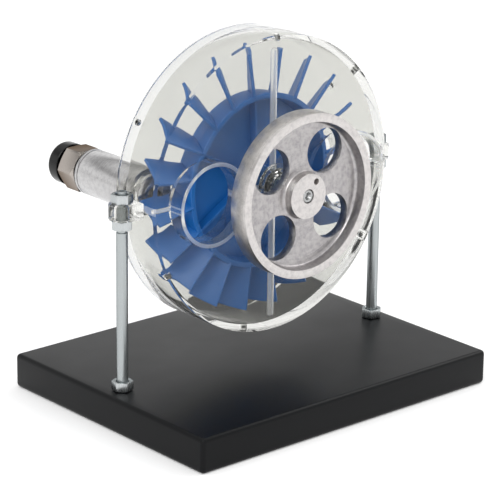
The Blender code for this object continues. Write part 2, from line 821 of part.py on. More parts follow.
def build_inlet():
    """The air inlet at nine o'clock: nozzle, seal, hexagon fitting and its release collar."""
    jet_face = BACK_PLATE_INNER
    step = jet_face - NOZZLE_JET_LENGTH
    add_turned(
        "nozzle_body",
        [
            (NOZZLE_SPIGOT_RADIUS, jet_face),
            (NOZZLE_SPIGOT_RADIUS, DRUM_BACK - GAP),
            (NOZZLE_BODY_RADIUS, DRUM_BACK - GAP),
            (NOZZLE_BODY_RADIUS, NOZZLE_BODY_END),
            (NOZZLE_BORE_RADIUS, NOZZLE_BODY_END),
            (NOZZLE_BORE_RADIUS, step - NOZZLE_CONE),
            (NOZZLE_JET_RADIUS, step),
            (NOZZLE_JET_RADIUS, jet_face),
        ],
        "turned aluminium",
        INLET,
    )
    seal_front = NOZZLE_BODY_END - GAP
    add_turned(
        "nozzle_seal",
        plain_ring(SEAL_RADIUS, NOZZLE_BORE_RADIUS, seal_front - SEAL_THICKNESS, seal_front),
        "black rubber",
        INLET,
    )
    socket = [
        (HEX_SOCKET_RADIUS, HEX_END),
        (HEX_SOCKET_RADIUS, HEX_START - HEX_FLOOR),
        (NOZZLE_BORE_RADIUS, HEX_START - HEX_FLOOR),
        (NOZZLE_BORE_RADIUS, HEX_START),
    ]
    limit = hex_limit(HEX_ACROSS_FLATS, HEX_END, HEX_START, socket)
    fitting = hex_mesh("fitting_hex", HEX_ACROSS_FLATS, HEX_END, HEX_START, limit)
    flats_level = (radians(90), radians(HEX_TURN), 0)
    add_part("fitting_hex", fitting, "nickel plate", INLET, (0, 0, 0), flats_level)
    add_turned(
        "release_collar",
        [
            (COLLAR_SLEEVE_RADIUS, COLLAR_START + COLLAR_SLEEVE),
            (COLLAR_SLEEVE_RADIUS, COLLAR_START),
            (COLLAR_RADIUS, COLLAR_START),
            (COLLAR_RADIUS, COLLAR_END + COLLAR_EDGE),
            (COLLAR_RADIUS - COLLAR_EDGE, COLLAR_END),
            (COLLAR_BORE_RADIUS, COLLAR_END),
            (COLLAR_BORE_RADIUS, COLLAR_START + COLLAR_SLEEVE),
        ],
        "black plastic",
        COLLAR,
    )


empty_scene()
PARTS = new_collection("turbine_model")
CUTTERS = new_collection("cutters")
DRUM = new_empty("drum centre", (0, 0, DRUM_HEIGHT))
ROTOR = new_empty("rotor axis", (0, 0, DRUM_HEIGHT))
INLET = new_empty("inlet axis", (-PORT_OFFSET, 0, DRUM_HEIGHT))
COLLAR = new_empty("collar axis", (-PORT_OFFSET, 0, DRUM_HEIGHT))

build_base()
build_posts()
build_lugs()
build_drum()
build_exhausts()
build_rim_screws()
build_bearings()
build_wheel()
build_flywheel()
build_shaft()
build_inlet()
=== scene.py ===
"""Looks of the desktop air turbine model: a blue bladed wheel in a clear drum, with a flywheel.

Every piece is modelled finer than its CAD node and given the finish of the real one. Lengths are
metres. The front, with the flywheel, faces -Y, +X is to the right and +Z is up.

Turned pieces are drawn as (radius, height) outlines round their own axis. On the drum, the wheel
and the air inlet that height runs forward, towards the viewer, from the drum's middle plane.
Clock angles are degrees clockwise from twelve, as the viewer sees them.
"""

import logging
from dataclasses import dataclass
from enum import Enum
from math import cos, pi, radians, sin, sqrt, tan
from typing import Any

import bmesh
import bpy
from mathutils import Matrix, Vector


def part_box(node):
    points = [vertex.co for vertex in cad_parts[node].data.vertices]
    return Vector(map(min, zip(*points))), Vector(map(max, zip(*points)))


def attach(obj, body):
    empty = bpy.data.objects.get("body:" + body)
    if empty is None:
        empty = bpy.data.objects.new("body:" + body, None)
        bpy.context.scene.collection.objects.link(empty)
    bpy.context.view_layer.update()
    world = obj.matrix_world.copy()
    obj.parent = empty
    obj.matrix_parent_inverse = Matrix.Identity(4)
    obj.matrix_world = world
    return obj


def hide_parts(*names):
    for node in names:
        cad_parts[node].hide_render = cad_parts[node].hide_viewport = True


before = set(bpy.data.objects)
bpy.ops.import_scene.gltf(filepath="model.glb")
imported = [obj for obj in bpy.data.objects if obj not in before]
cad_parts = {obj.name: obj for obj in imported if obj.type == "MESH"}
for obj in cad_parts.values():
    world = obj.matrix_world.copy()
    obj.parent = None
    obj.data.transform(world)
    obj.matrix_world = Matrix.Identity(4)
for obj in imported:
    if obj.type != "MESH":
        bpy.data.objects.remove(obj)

LOG = logging.getLogger("air_turbine")

Outline = list[tuple[float, float]]
Shape = bmesh.types.BMesh
Tree = bpy.types.NodeTree
Node = bpy.types.Node
Socket = bpy.types.NodeSocket

# Turns local Z to the viewer, so that local (x, y, z) is right, up and forward
TO_VIEWER = Matrix.Rotation(pi / 2, 4, "X")
MILLIMETRE = 0.001
# Clearance that the CAD keeps between pieces that touch
GAP = 0.0003
# How far a cutter runs past the piece that it cuts
CUT_PAST = 0.002
# Points nearer than this are one
MERGE = 1e-6
# A wave texture repeats every pi / 10 of its own units
WAVE_PERIOD = 0.314
# Faces that turn by less than this, in degrees, are shaded as one smooth surface
SMOOTH_BELOW = 32


class Body(Enum):
    """The bodies of the CAD model that pieces ride on."""

    STAND = "stand"
    ROTOR = "rotor"
    COLLAR = "collar"


class Slot(Enum):
    """The record's material slots."""

    BOARD = "black_board"
    ZINC = "zinc_steel"
    ACRYLIC = "clear_acrylic"
    BEARING = "bearing_steel"
    DARK_STEEL = "dark_steel"
    ALUMINIUM = "turned_aluminium"
    RUBBER = "black_rubber"
    NICKEL = "nickel_plate"
    BLUE = "blue_plastic"
    COLLAR = "black_plastic"


def to_linear(colour: str) -> tuple[float, float, float, float]:
    """Turn an sRGB hex colour to Blender's linear values.

    Args:
        colour: Six hex digits after a hash mark.

    Returns:
        Linear red, green and blue, and an alpha of one.
    """
    channels = [int(colour[start : start + 2], 16) / 255 for start in (1, 3, 5)]
    linear = [c / 12.92 if c <= 0.04045 else ((c + 0.055) / 1.055) ** 2.4 for c in channels]
    return (*linear, 1.0)


def add_node(tree: Tree, kind: str, inputs: dict[Any, Any], **settings: Any) -> Any:
    """Add one node to a tree.

    Args:
        tree: The node tree of a material or world.
        kind: Blender's name of the node type, without its ShaderNode.
        inputs: For each input, by name or number, its value or the socket that feeds it.
        **settings: Values of the node's own properties.

    Returns:
        The new node.
    """
    node = tree.nodes.new("ShaderNode" + kind)
    for name, value in settings.items():
        setattr(node, name, value)
    for name, value in inputs.items():
        if isinstance(value, Socket):
            tree.links.new(value, node.inputs[name])
        else:
            node.inputs[name].default_value = value
    return node


@dataclass(frozen=True)
class Finish:
    """What a surface is made of and how it was made: a plain satin one until a subclass adds to it."""

    name: str
    slot: Slot
    colour: str
    roughness: float
    metallic: float = 0.0

    def material(self) -> bpy.types.Material:
        """Build the material once, and hand out the same one after that."""
        made = bpy.data.materials.get(self.name)
        if made is None:
            made = bpy.data.materials.new(self.name)
            made.use_nodes = True
            shader = made.node_tree.nodes["Principled BSDF"]
            shader.inputs["Base Color"].default_value = to_linear(self.colour)
            shader.inputs["Roughness"].default_value = self.roughness
            shader.inputs["Metallic"].default_value = self.metallic
            self.detail(shader)
        return made

    def detail(self, shader: Node) -> None:
        """Add what sets this finish apart; the plain finish adds nothing."""

    def clouds(self, shader: Node, size: tuple[float, float, float], detail: float) -> Socket:
        """Soft noise that keeps its place on the piece.

        Args:
            shader: The material's main shader.
            size: Size of one cloud along each axis.
            detail: How many finer layers lie on it.

        Returns:
            The noise, from zero to one.
        """
        tree = shader.id_data
        where = add_node(tree, "TexCoord", {}).outputs["Object"]
        scale = tuple(1 / length for length in size)
        mapped = add_node(tree, "Mapping", {"Vector": where, "Scale": scale})
        noise = {"Vector": mapped.outputs["Vector"], "Scale": 1.0, "Detail": detail}
        return add_node(tree, "TexNoise", noise).outputs["Fac"]

    def vary_gloss(
        self, shader: Node, pattern: Socket, finer: float, rougher: float, low: float = 0.0
    ) -> None:
        """Let a pattern make the surface a little glossier or duller.

        Args:
            shader: The material's main shader.
            pattern: The pattern, from zero to one.
            finer: How far the roughness falls at the pattern's low end.
            rougher: How far it rises at the high end.
            low: The pattern's value at the low end; the high end is as far from one.
        """
        reach = {"From Min": low, "From Max": 1.0 - low}
        gloss = {"To Min": self.roughness - finer, "To Max": self.roughness + rougher}
        tree = shader.id_data
        spread = add_node(tree, "MapRange", {"Value": pattern, **reach, **gloss})
        tree.links.new(spread.outputs["Result"], shader.inputs["Roughness"])

    def raise_relief(self, shader: Node, pattern: Socket, strength: float, depth: float) -> None:
        """Let a pattern raise a very shallow relief.

        Args:
            shader: The material's main shader.
            pattern: Height of the relief, from zero to one.
            strength: How much of it shows.
            depth: Its full depth.
        """
        relief = {"Strength": strength, "Distance": depth, "Height": pattern}
        tree = shader.id_data
        bump = add_node(tree, "Bump", relief)
        tree.links.new(bump.outputs["Normal"], shader.inputs["Normal"])


@dataclass(frozen=True)
class SatinBlackBoard(Finish):
    """Black through-dyed board with a satin surface.

    The eye sees near black sides and a grey sheen on the top, with a faint fine grain in it.
    """

    grain: float = 0.5 * MILLIMETRE
    grain_depth: float = 0.04 * MILLIMETRE
    cloud: float = 35.7 * MILLIMETRE
    specular: float = 0.16

    def detail(self, shader: Node) -> None:
        """Fine moulded grain in the bump, and wide clouds in the gloss."""
        shader.inputs["Specular IOR Level"].default_value = self.specular
        clouds = self.clouds(shader, (self.cloud,) * 3, detail=4.0)
        grain = self.clouds(shader, (self.grain,) * 3, detail=3.0)
        self.vary_gloss(shader, clouds, finer=0.06, rougher=0.08)
        self.raise_relief(shader, grain, strength=0.25, depth=self.grain_depth)


@dataclass(frozen=True)
class ClearAcrylic(Finish):
    """Cast acrylic, clear with a trace of grey, turned and polished.

    The eye sees through it with a slight grey veil and bright lines where edges catch light. Its
    index is lower than the real 1.49, because the photograph hardly shifts what is behind it.
    """

    index: float = 1.18
    haze: float = 0.02
    shadow_tint: str = "#FCFCFC"

    def detail(self, shader: Node) -> None:
        """Glass that lets lamps and soft light through, so that what is inside is lit as in air."""
        shader.inputs["Transmission Weight"].default_value = 1.0 - self.haze
        shader.inputs["IOR"].default_value = self.index
        tree = shader.id_data
        ray = add_node(tree, "LightPath", {}).outputs
        straight = add_node(
            tree, "Math", {0: ray["Is Shadow Ray"], 1: ray["Is Diffuse Ray"]}, operation="MAXIMUM"
        )
        clear = add_node(tree, "BsdfTransparent", {"Color": to_linear(self.shadow_tint)})
        layers = {"Fac": straight.outputs["Value"], 1: shader.outputs["BSDF"], 2: clear.outputs["BSDF"]}
        mixed = add_node(tree, "MixShader", layers)
        tree.links.new(mixed.outputs["Shader"], tree.nodes["Material Output"].inputs["Surface"])


@dataclass(frozen=True)
class FrostedAcrylic(ClearAcrylic):
    """The same acrylic where it was cut across or drilled, left fine sawn.

    The eye sees a pale milky band along each cut edge and bore.
    """

    haze: float = 0.2


@dataclass(frozen=True)
class PrintedBluePlastic(Finish):
    """Mid blue plastic, printed in fine layers across the wheel's axis.

    The eye sees one solid satin blue, a little lighter on the thin blades.
    """

    layer: float = 0.4 * MILLIMETRE
    layer_depth: float = 0.03 * MILLIMETRE
    cloud: float = 11.1 * MILLIMETRE

    def detail(self, shader: Node) -> None:
        """Layer lines across the axis, drawn twice as coarse as real ones so that they show."""
        tree = shader.id_data
        where = add_node(tree, "TexCoord", {}).outputs["Object"]
        wave = {"Vector": where, "Scale": WAVE_PERIOD / self.layer, "Distortion": 0.6}
        lines = add_node(tree, "TexWave", wave, wave_type="BANDS", bands_direction="Y")
        self.raise_relief(shader, lines.outputs["Fac"], strength=0.12, depth=self.layer_depth)
        clouds = self.clouds(shader, (self.cloud,) * 3, detail=3.0)
        self.vary_gloss(shader, clouds, finer=0.07, rougher=0.07)


@dataclass(frozen=True)
class TurnedAluminium(Finish):
    """Aluminium turned on a lathe and lightly brushed.

    The eye sees a pale satin grey with rings round the axis and faint darker blotches. The web, the
    floor of the recess, is painted darker than the rim as painted shade.
    """

    axis_x: float = 0.0
    axis_z: float = 0.0
    ring_pitch: float = 0.5 * MILLIMETRE
    ring_depth: float = 0.03 * MILLIMETRE
    blotch: float = 0.3
    blotch_size: float = 2.38 * MILLIMETRE
    dark: str = "#77757A"
    web_middle: float = 0.026
    web_reach: float = 0.0136
    # How far painted shade darkens the web, the floor of the recess, towards the dark colour
    web_painted_shade: float = 0.0

    def detail(self, shader: Node) -> None:
        """Rings by distance from the axis, as-cast blotches, and painted shade on the recessed web."""
        tree = shader.id_data
        where = add_node(tree, "TexCoord", {}).outputs["Object"]
        shift = (-self.axis_x, 0, -self.axis_z)
        centred = add_node(tree, "Mapping", {"Vector": where, "Location": shift}).outputs["Vector"]
        flat = add_node(tree, "VectorMath", {0: centred, 1: (1, 0, 1)}, operation="MULTIPLY")
        length = add_node(tree, "VectorMath", {0: flat.outputs["Vector"]}, operation="LENGTH")
        radius = length.outputs["Value"]
        along = add_node(tree, "SeparateXYZ", {"Vector": centred}).outputs["Y"]
        rings_at = add_node(tree, "CombineXYZ", {"X": radius, "Y": along}).outputs["Vector"]
        ring_noise = {"Vector": rings_at, "Scale": 1 / self.ring_pitch, "Detail": 2.0}
        rings = add_node(tree, "TexNoise", ring_noise).outputs["Fac"]
        self.vary_gloss(shader, rings, finer=0.08, rougher=0.10, low=0.3)
        self.raise_relief(shader, rings, strength=0.35, depth=self.ring_depth)

        cast = {"Vector": centred, "Scale": 1 / self.blotch_size, "Detail": 6.0, "Roughness": 0.62}
        blotches = add_node(tree, "TexNoise", cast).outputs["Fac"]
        strong = {"Value": blotches, "From Min": 0.42, "From Max": 0.68, "To Max": self.blotch}
        share = add_node(tree, "MapRange", strong).outputs["Result"]
        # Painted shade: the web between the hub and the rim, the floor of the recess, is mixed towards the
        # dark colour
        on_web = {0: radius, 1: self.web_middle, 2: self.web_reach}
        web = add_node(tree, "Math", on_web, operation="COMPARE").outputs["Value"]
        shade = {0: web, 1: self.web_painted_shade, 2: share}
        darker = add_node(tree, "Math", shade, operation="MULTIPLY_ADD").outputs["Value"]
        tones = {0: darker, 6: to_linear(self.colour), 7: to_linear(self.dark)}
        colour = add_node(tree, "Mix", tones, data_type="RGBA")
        tree.links.new(colour.outputs[2], shader.inputs["Base Color"])


@dataclass(frozen=True)
class SmoothSteel(Finish):
    """Steel or brass with a smooth plated, ground or blackened surface.

    The eye sees an even metal that is a little cloudy, with soft streaks along the bar.
    """

    streak_width: float = 1.11 * MILLIMETRE
    streak_length: float = 16.7 * MILLIMETRE
    edge_tint: str = "#8C9192"

    def detail(self, shader: Node) -> None:
        """Streaks in the gloss, and a darker tint at grazing angles as on real zinc."""
        shader.inputs["Specular Tint"].default_value = to_linear(self.edge_tint)
        size = (self.streak_width, self.streak_width, self.streak_length)
        self.vary_gloss(shader, self.clouds(shader, size, detail=4.0), finer=0.08, rougher=0.10, low=0.3)


@dataclass(frozen=True)
class BlackMoulding(Finish):
    """Black plastic or rubber from a mould.

    The eye sees a deep even black with a soft highlight.
    """

    grain: float = 0.4 * MILLIMETRE
    grain_depth: float = 0.03 * MILLIMETRE
    specular: float = 0.25

    def detail(self, shader: Node) -> None:
        """A faint moulded grain."""
        shader.inputs["Specular IOR Level"].default_value = self.specular
        grain = self.clouds(shader, (self.grain,) * 3, detail=2.0)
        self.raise_relief(shader, grain, strength=0.2, depth=self.grain_depth)


ZINC = SmoothSteel("zinc plated steel", Slot.ZINC, "#ABB0B1", 0.3, 1.0)
BRIGHT_ZINC = SmoothSteel("bright zinc plated nuts", Slot.ZINC, "#BABEBF", 0.26, 1.0)
BEARING_STEEL = SmoothSteel("ground bearing steel", Slot.BEARING, "#A9AAAA", 0.24, 1.0)
BLACK_STEEL = SmoothSteel("black oxide steel", Slot.DARK_STEEL, "#7C7C7A", 0.38, 1.0)
NICKEL = SmoothSteel(
    "nickel plated brass",
    Slot.NICKEL,
    "#ABA49E",
    0.14,
    1.0,
    streak_width=8.33 * MILLIMETRE,
    streak_length=8.33 * MILLIMETRE,
    edge_tint="#8A8078",
)
ACRYLIC = ClearAcrylic("cast clear acrylic", Slot.ACRYLIC, "#E2E2DF", 0.02)
SAWN_ACRYLIC = FrostedAcrylic("fine sawn acrylic", Slot.ACRYLIC, "#F2F3F3", 0.35)
BOARD = SatinBlackBoard("satin black board", Slot.BOARD, "#050608", 0.34)
BLUE = PrintedBluePlastic("printed blue plastic", Slot.BLUE, "#0F5CA2", 0.42)
RUBBER = BlackMoulding("black nitrile rubber", Slot.RUBBER, "#151515", 0.6)
ACETAL = BlackMoulding("black acetal moulding", Slot.COLLAR, "#050505", 0.2)


def clock(radius: float, angle: float) -> tuple[float, float]:
    """Local (right, up) of a point at a clock angle, in degrees."""
    return radius * sin(radians(angle)), radius * cos(radians(angle))


def linked(name: str, data: bpy.types.ID) -> bpy.types.Object:
    """A new object in the scene for a mesh, a camera or a lamp."""
    made = bpy.data.objects.new(name, data)
    bpy.context.scene.collection.objects.link(made)
    return made


def moved(right: float, up: float = 0.0, forward: float = 0.0) -> Matrix:
    """A plain shift."""
    return Matrix.Translation((right, up, forward))


def quarter_round(radius: float, height: float, size: float, inward: int, steps: int) -> Outline:
    """Points of a quarter circle that leaves a wall and turns to a level face.

    Args:
        radius: Radius of the wall.
        height: Height of the level face.
        size: Radius of the rounding.
        inward: 1 if the level face lies inside the wall, -1 if it lies outside.
        steps: Stretches of the quarter circle.

    Returns:
        Outline points from the wall to the level face.
    """
    angles = [pi / 2 * step / steps for step in range(steps + 1)]
    return [(radius - inward * size * (1 - cos(turn)), height + size * (1 - sin(turn))) for turn in angles]


def ring_outline(outer: float, inner: float, front: float, back: float) -> Outline:
    """Outline of a plain ring."""
    return [(outer, front), (outer, back), (inner, back), (inner, front)]


def turned(outline: Outline, steps: int, closed: bool = True) -> Shape:
    """Spin an outline round local Z.

    Args:
        outline: (radius, height) points of the outline.
        steps: Sides of the full turn.
        closed: Whether the outline's ends are joined, as on a ring. A solid's outline starts and
            ends on the axis instead.

    Returns:
        A closed mesh.
    """
    bm = bmesh.new()
    points = [bm.verts.new((radius, 0, height)) for radius, height in outline]
    pairs = list(zip(points, points[1:]))
    if closed:
        pairs.append((points[-1], points[0]))
    edges = [bm.edges.new(pair) for pair in pairs]
    full = {"cent": (0, 0, 0), "axis": (0, 0, 1), "dvec": (0, 0, 0), "angle": 2 * pi, "steps": steps}
    bmesh.ops.spin(bm, geom=points + edges, use_merge=True, use_duplicate=False, **full)
    bmesh.ops.remove_doubles(bm, verts=bm.verts, dist=MERGE)
    bmesh.ops.recalc_face_normals(bm, faces=bm.faces)
    return bm


def bar(radius: float, low: float, high: float, sides: int) -> Shape:
    """A straight bar along local Z from low to high."""
    bm = bmesh.new()
    size = {"segments": sides, "radius1": radius, "radius2": radius, "depth": high - low}
    bmesh.ops.create_cone(bm, cap_ends=True, matrix=moved(0, 0, (low + high) / 2), **size)
    return bm


def gathered(shapes: list[Shape]) -> Shape:
    """Put several meshes into one, and free them."""
    whole = bmesh.new()
    for shape in shapes:
        part = bpy.data.meshes.new("part")
        shape.to_mesh(part)
        shape.free()
        whole.from_mesh(part)
        bpy.data.meshes.remove(part)
    return whole


def placed(bm: Shape, place: Matrix) -> Shape:
    """Move a mesh by a matrix and hand it back."""
    bmesh.ops.transform(bm, matrix=place, verts=bm.verts)
    return bm


def joined(body: Shape, tools: list[Shape], operation: str) -> Shape:
    """Cut, fuse or trim a mesh with others by exact Booleans.

    Args:
        body: The mesh that is worked on; it is freed.
        tools: The other meshes; they are freed.
        operation: DIFFERENCE, UNION or INTERSECT.

    Returns:
        The resulting mesh.
    """
    meshes = []
    objects = []
    for bm in [body, *tools]:
        mesh = bpy.data.meshes.new("work")
        bm.to_mesh(mesh)
        bm.free()
        meshes.append(mesh)
        objects.append(linked("work", mesh))
    for tool in objects[1:]:
        modifier = objects[0].modifiers.new("work", "BOOLEAN")
        modifier.operation = operation
        modifier.solver = "EXACT"
        modifier.object = tool
    bpy.context.view_layer.update()
    graph = bpy.context.evaluated_depsgraph_get()
    result = bmesh.new()
    result.from_mesh(objects[0].evaluated_get(graph).data)
    for work in objects:
        bpy.data.objects.remove(work)
    for mesh in meshes:
        bpy.data.meshes.remove(mesh)
    bmesh.ops.remove_doubles(result, verts=result.verts, dist=MERGE)
    return result


def eased(bm: Shape, width: float, segments: int = 2, least: float = 30.0) -> Shape:
    """Round every edge that turns sharply.

    Args:
        bm: The mesh.
        width: Width of the rounding.
        segments: Faces across it.
        least: Smallest turn between two faces, in degrees, that is rounded.

    Returns:
        The same mesh.
    """
    sharp = [edge for edge in bm.edges if edge.is_manifold and edge.calc_face_angle(0) > radians(least)]
    bevel = {"offset": width, "offset_type": "OFFSET", "segments": segments, "clamp_overlap": True}
    bmesh.ops.bevel(bm, geom=sharp, affect="EDGES", profile=0.5, material=-1, **bevel)
    return bm


def add_piece(
    name: str, bm: Shape, place: Matrix, finish: Finish, body: Body, stands_for: tuple[str, ...] = ()
) -> bpy.types.Object:
    """Write a mesh to an object of its own, dress it and tie it to its body.

    Args:
        name: Name of the piece.
        bm: Its mesh, in the local frame; it is freed.
        place: The local frame's place in the model.
        finish: What the piece is made of.
        body: The CAD body that it rides on.
        stands_for: CAD nodes that it replaces.

    Returns:
        The new object, at the origin, with its place in its mesh.
    """
    mesh = bpy.data.meshes.new(name)
    placed(bm, place).to_mesh(mesh)
    bm.free()
    mesh.shade_smooth()
    mesh.set_sharp_from_angle(angle=radians(SMOOTH_BELOW))
    mesh.materials.append(finish.material())
    piece = linked(name, mesh)
    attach(piece, body.value)
    if stands_for:
        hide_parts(*stands_for)
    LOG.info("%s: %d faces", name, len(mesh.polygons))
    return piece


def extent(node: str) -> tuple[float, float, float]:
    """Outer radius, front and back of a CAD node that was turned about a level axis."""
    low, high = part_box(node)
    return (high.x - low.x) / 2, -low.y, -high.y


@dataclass(frozen=True)
class DrumFrame:
    """Where the drum is, read from the CAD: its axis, its radius and its two end faces."""

    height: float
    radius: float
    front: float
    back: float

    @classmethod
    def from_cad(cls) -> "DrumFrame":
        """Read the casing ring's box."""
        low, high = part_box("casing_ring")
        return cls((low.z + high.z) / 2, *extent("casing_ring"))

    def place(self, right: float = 0.0) -> Matrix:
        """The frame of an axis that points to the viewer, so far right of the drum's own."""
        return Matrix.Translation((right, 0, self.height)) @ TO_VIEWER


@dataclass
class OnDrum:
    """A sub-assembly that is placed by the drum."""

    drum: DrumFrame


@dataclass
class Board:
    """The black base board."""

    edge_radius: float = 0.0024
    edge_steps: int = 5
    hole_radius: float = 0.0033
    hole_sides: int = 32

    def build(self) -> None:
        """A block with all its edges rounded, drilled for the two posts."""
        low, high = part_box("base_board")
        bm = bmesh.new()
        bmesh.ops.create_cube(bm, size=1.0)
        bmesh.ops.scale(bm, vec=high - low, verts=bm.verts)
        bmesh.ops.translate(bm, vec=(low + high) / 2, verts=bm.verts)
        eased(bm, self.edge_radius, self.edge_steps)
        holes = []
        for side in ("left", "right"):
            foot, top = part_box(f"post_{side}")
            hole = bar(self.hole_radius, foot.z - GAP, high.z + CUT_PAST, self.hole_sides)
            centre = (foot + top) / 2
            holes.append(placed(hole, moved(centre.x, centre.y)))
        bm = joined(bm, holes, "DIFFERENCE")
        add_piece("board", bm, Matrix.Identity(4), BOARD, Body.STAND, ("base_board",))


@dataclass
class Posts:
    """Two zinc plated rods with their nuts."""

    rod_sides: int = 40
    thread_pitch: float = 1.0 * MILLIMETRE
    thread_depth: float = 0.5 * MILLIMETRE
    thread_half_width: float = 0.46 * MILLIMETRE
    thread_sink: float = 0.1 * MILLIMETRE
    crest_half_width: float = 0.12 * MILLIMETRE
    crest_drop: float = 0.1 * MILLIMETRE
    thread_sides: int = 16
    top_thread: float = 0.0215
    end_chamfer: float = 0.7 * MILLIMETRE
    nut_across: float = 0.010
    nut_bore: float = 0.0033
    nut_lead: float = 0.0005
    nut_edge: float = 0.00012
    nut_chamfer_angle: float = 30.0
    nut_face_share: float = 0.95
    nut_sides: int = 64
    nut_turns: tuple[tuple[str, float], ...] = (("base", 12.0), ("lower", 40.0), ("upper", 5.0))

    def build(self) -> None:
        """Both rods, each with its three nuts."""
        for side, sign in (("left", -1), ("right", 1)):
            self.build_rod(side)
            for kind, turn in self.nut_turns:
                self.build_nut(f"{kind}_nut_{side}", turn * sign)

    def build_rod(self, side: str) -> None:
        """The left or right rod: plain, with a rolled thread where the lug's nuts sit."""
        low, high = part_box(f"post_{side}")
        radius = (high.x - low.x) / 2
        core = radius - self.thread_depth
        start = high.z - self.top_thread
        half_chamfer = self.end_chamfer / 2
        outline = [
            (0, high.z), (core - half_chamfer, high.z), (core, high.z - half_chamfer),
            (core, start), (radius, start - half_chamfer), (radius, low.z), (0, low.z),
        ]
        rod = turned(outline, self.rod_sides, closed=False)
        thread = self.thread(core, radius, start, high.z - self.end_chamfer)
        centre = (low + high) / 2
        place = moved(centre.x, centre.y)
        add_piece(f"post_rod_{side}", gathered([rod, thread]), place, ZINC, Body.STAND, (f"post_{side}",))

    def thread(self, core: float, crest: float, low: float, high: float) -> Shape:
        """A helical ridge round local Z.

        Args:
            core: Radius under the thread.
            crest: Radius over the thread.
            low: Height where it starts.
            high: Height where it ends.

        Returns:
            A closed ridge, sunk a little into the core.
        """
        bm = bmesh.new()
        half = self.thread_half_width
        base = core - self.thread_sink
        peak = crest - self.crest_drop
        crest_half = self.crest_half_width
        section = [(base, -half), (peak, -crest_half), (peak, crest_half), (base, half)]
        face = bm.faces.new([bm.verts.new((radius, 0, low + half + height)) for radius, height in section])
        turns = int((high - low - 2 * half) / self.thread_pitch)
        climb = {"dvec": (0, 0, self.thread_pitch / self.thread_sides), "steps": turns * self.thread_sides}
        about = {"cent": (0, 0, 0), "axis": (0, 0, 1), "angle": 2 * pi * turns, **climb}
        profile = [face, *face.edges, *face.verts]
        bmesh.ops.spin(bm, geom=profile, use_merge=False, use_duplicate=False, **about)
        bmesh.ops.holes_fill(bm, edges=[edge for edge in bm.edges if edge.is_boundary], sides=4)
        bmesh.ops.recalc_face_normals(bm, faces=bm.faces)
        return bm

    def build_nut(self, node: str, turn: float) -> None:
        """One hexagon nut with both faces chamfered.

        Args:
            node: The CAD node that it stands for.
            turn: Its turn about the post, in degrees.
        """
        low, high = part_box(node)
        thickness = high.z - low.z
        corner = self.nut_across / sqrt(3)
        face = self.nut_across / 2 * self.nut_face_share
        drop = (corner - face) * tan(radians(self.nut_chamfer_angle))
        mouth = self.nut_bore + self.nut_lead
        outline = [
            (face, thickness), (corner + GAP, thickness - drop), (corner + GAP, drop),
            (face, 0), (mouth, 0), (self.nut_bore, self.nut_lead),
            (self.nut_bore, thickness - self.nut_lead), (mouth, thickness),
        ]
        nut = joined(bar(corner, 0, thickness, 6), [turned(outline, self.nut_sides)], "INTERSECT")
        centre = (low + high) / 2
        place = moved(centre.x, centre.y, low.z) @ Matrix.Rotation(radians(turn), 4, "Z")
        add_piece(f"hex_{node}", eased(nut, self.nut_edge, 2, 25), place, BRIGHT_ZINC, Body.STAND, (node,))


@dataclass
class Lugs(OnDrum):
    """The two clear lugs that carry the drum between the nuts."""

    width: float = 0.014
    overlap: float = 0.004
    round_steps: int = 24
    hole_radius: float = 0.0033
    hole_sides: int = 40
    edge: float = 0.0005
    drum_sides: int = 256
    square_from: float = 0.02

    def build(self) -> None:
        """Both lugs: round about the post, and hollowed where they meet the drum's wall."""
        drum = self.drum
        half = self.width / 2
        for side, sign in (("left", -1), ("right", 1)):
            node = f"lug_{side}"
            low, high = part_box(node)
            foot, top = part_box(f"post_{side}")
            post = (foot + top) / 2
            reach = abs(post.x) - drum.radius + self.overlap
            bm = bmesh.new()
            block = bmesh.ops.create_circle(bm, cap_ends=True, segments=4 * self.round_steps, radius=half)
            for vert in block["verts"]:
                if vert.co.x * -sign > half * self.square_from:
                    vert.co.x = -sign * reach
                    vert.co.y = half if vert.co.y > 0 else -half
            bmesh.ops.remove_doubles(bm, verts=bm.verts, dist=MERGE)
            raised = bmesh.ops.extrude_face_region(bm, geom=bm.faces[:])
            tops = [item for item in raised["geom"] if isinstance(item, bmesh.types.BMVert)]
            bmesh.ops.translate(bm, verts=tops, vec=(0, 0, high.z - low.z))
            bmesh.ops.recalc_face_normals(bm, faces=bm.faces)
            bmesh.ops.translate(bm, verts=bm.verts, vec=(post.x, post.y, low.z))
            hole = bar(self.hole_radius, low.z - CUT_PAST, high.z + CUT_PAST, self.hole_sides)
            placed(hole, moved(post.x, post.y))
            wall = bar(drum.radius + GAP, drum.back - CUT_PAST, drum.front + CUT_PAST, self.drum_sides)
            placed(wall, drum.place())
            lug = eased(joined(bm, [hole, wall], "DIFFERENCE"), self.edge)
            add_piece(f"clear_{node}", lug, Matrix.Identity(4), ACRYLIC, Body.STAND, (node,))


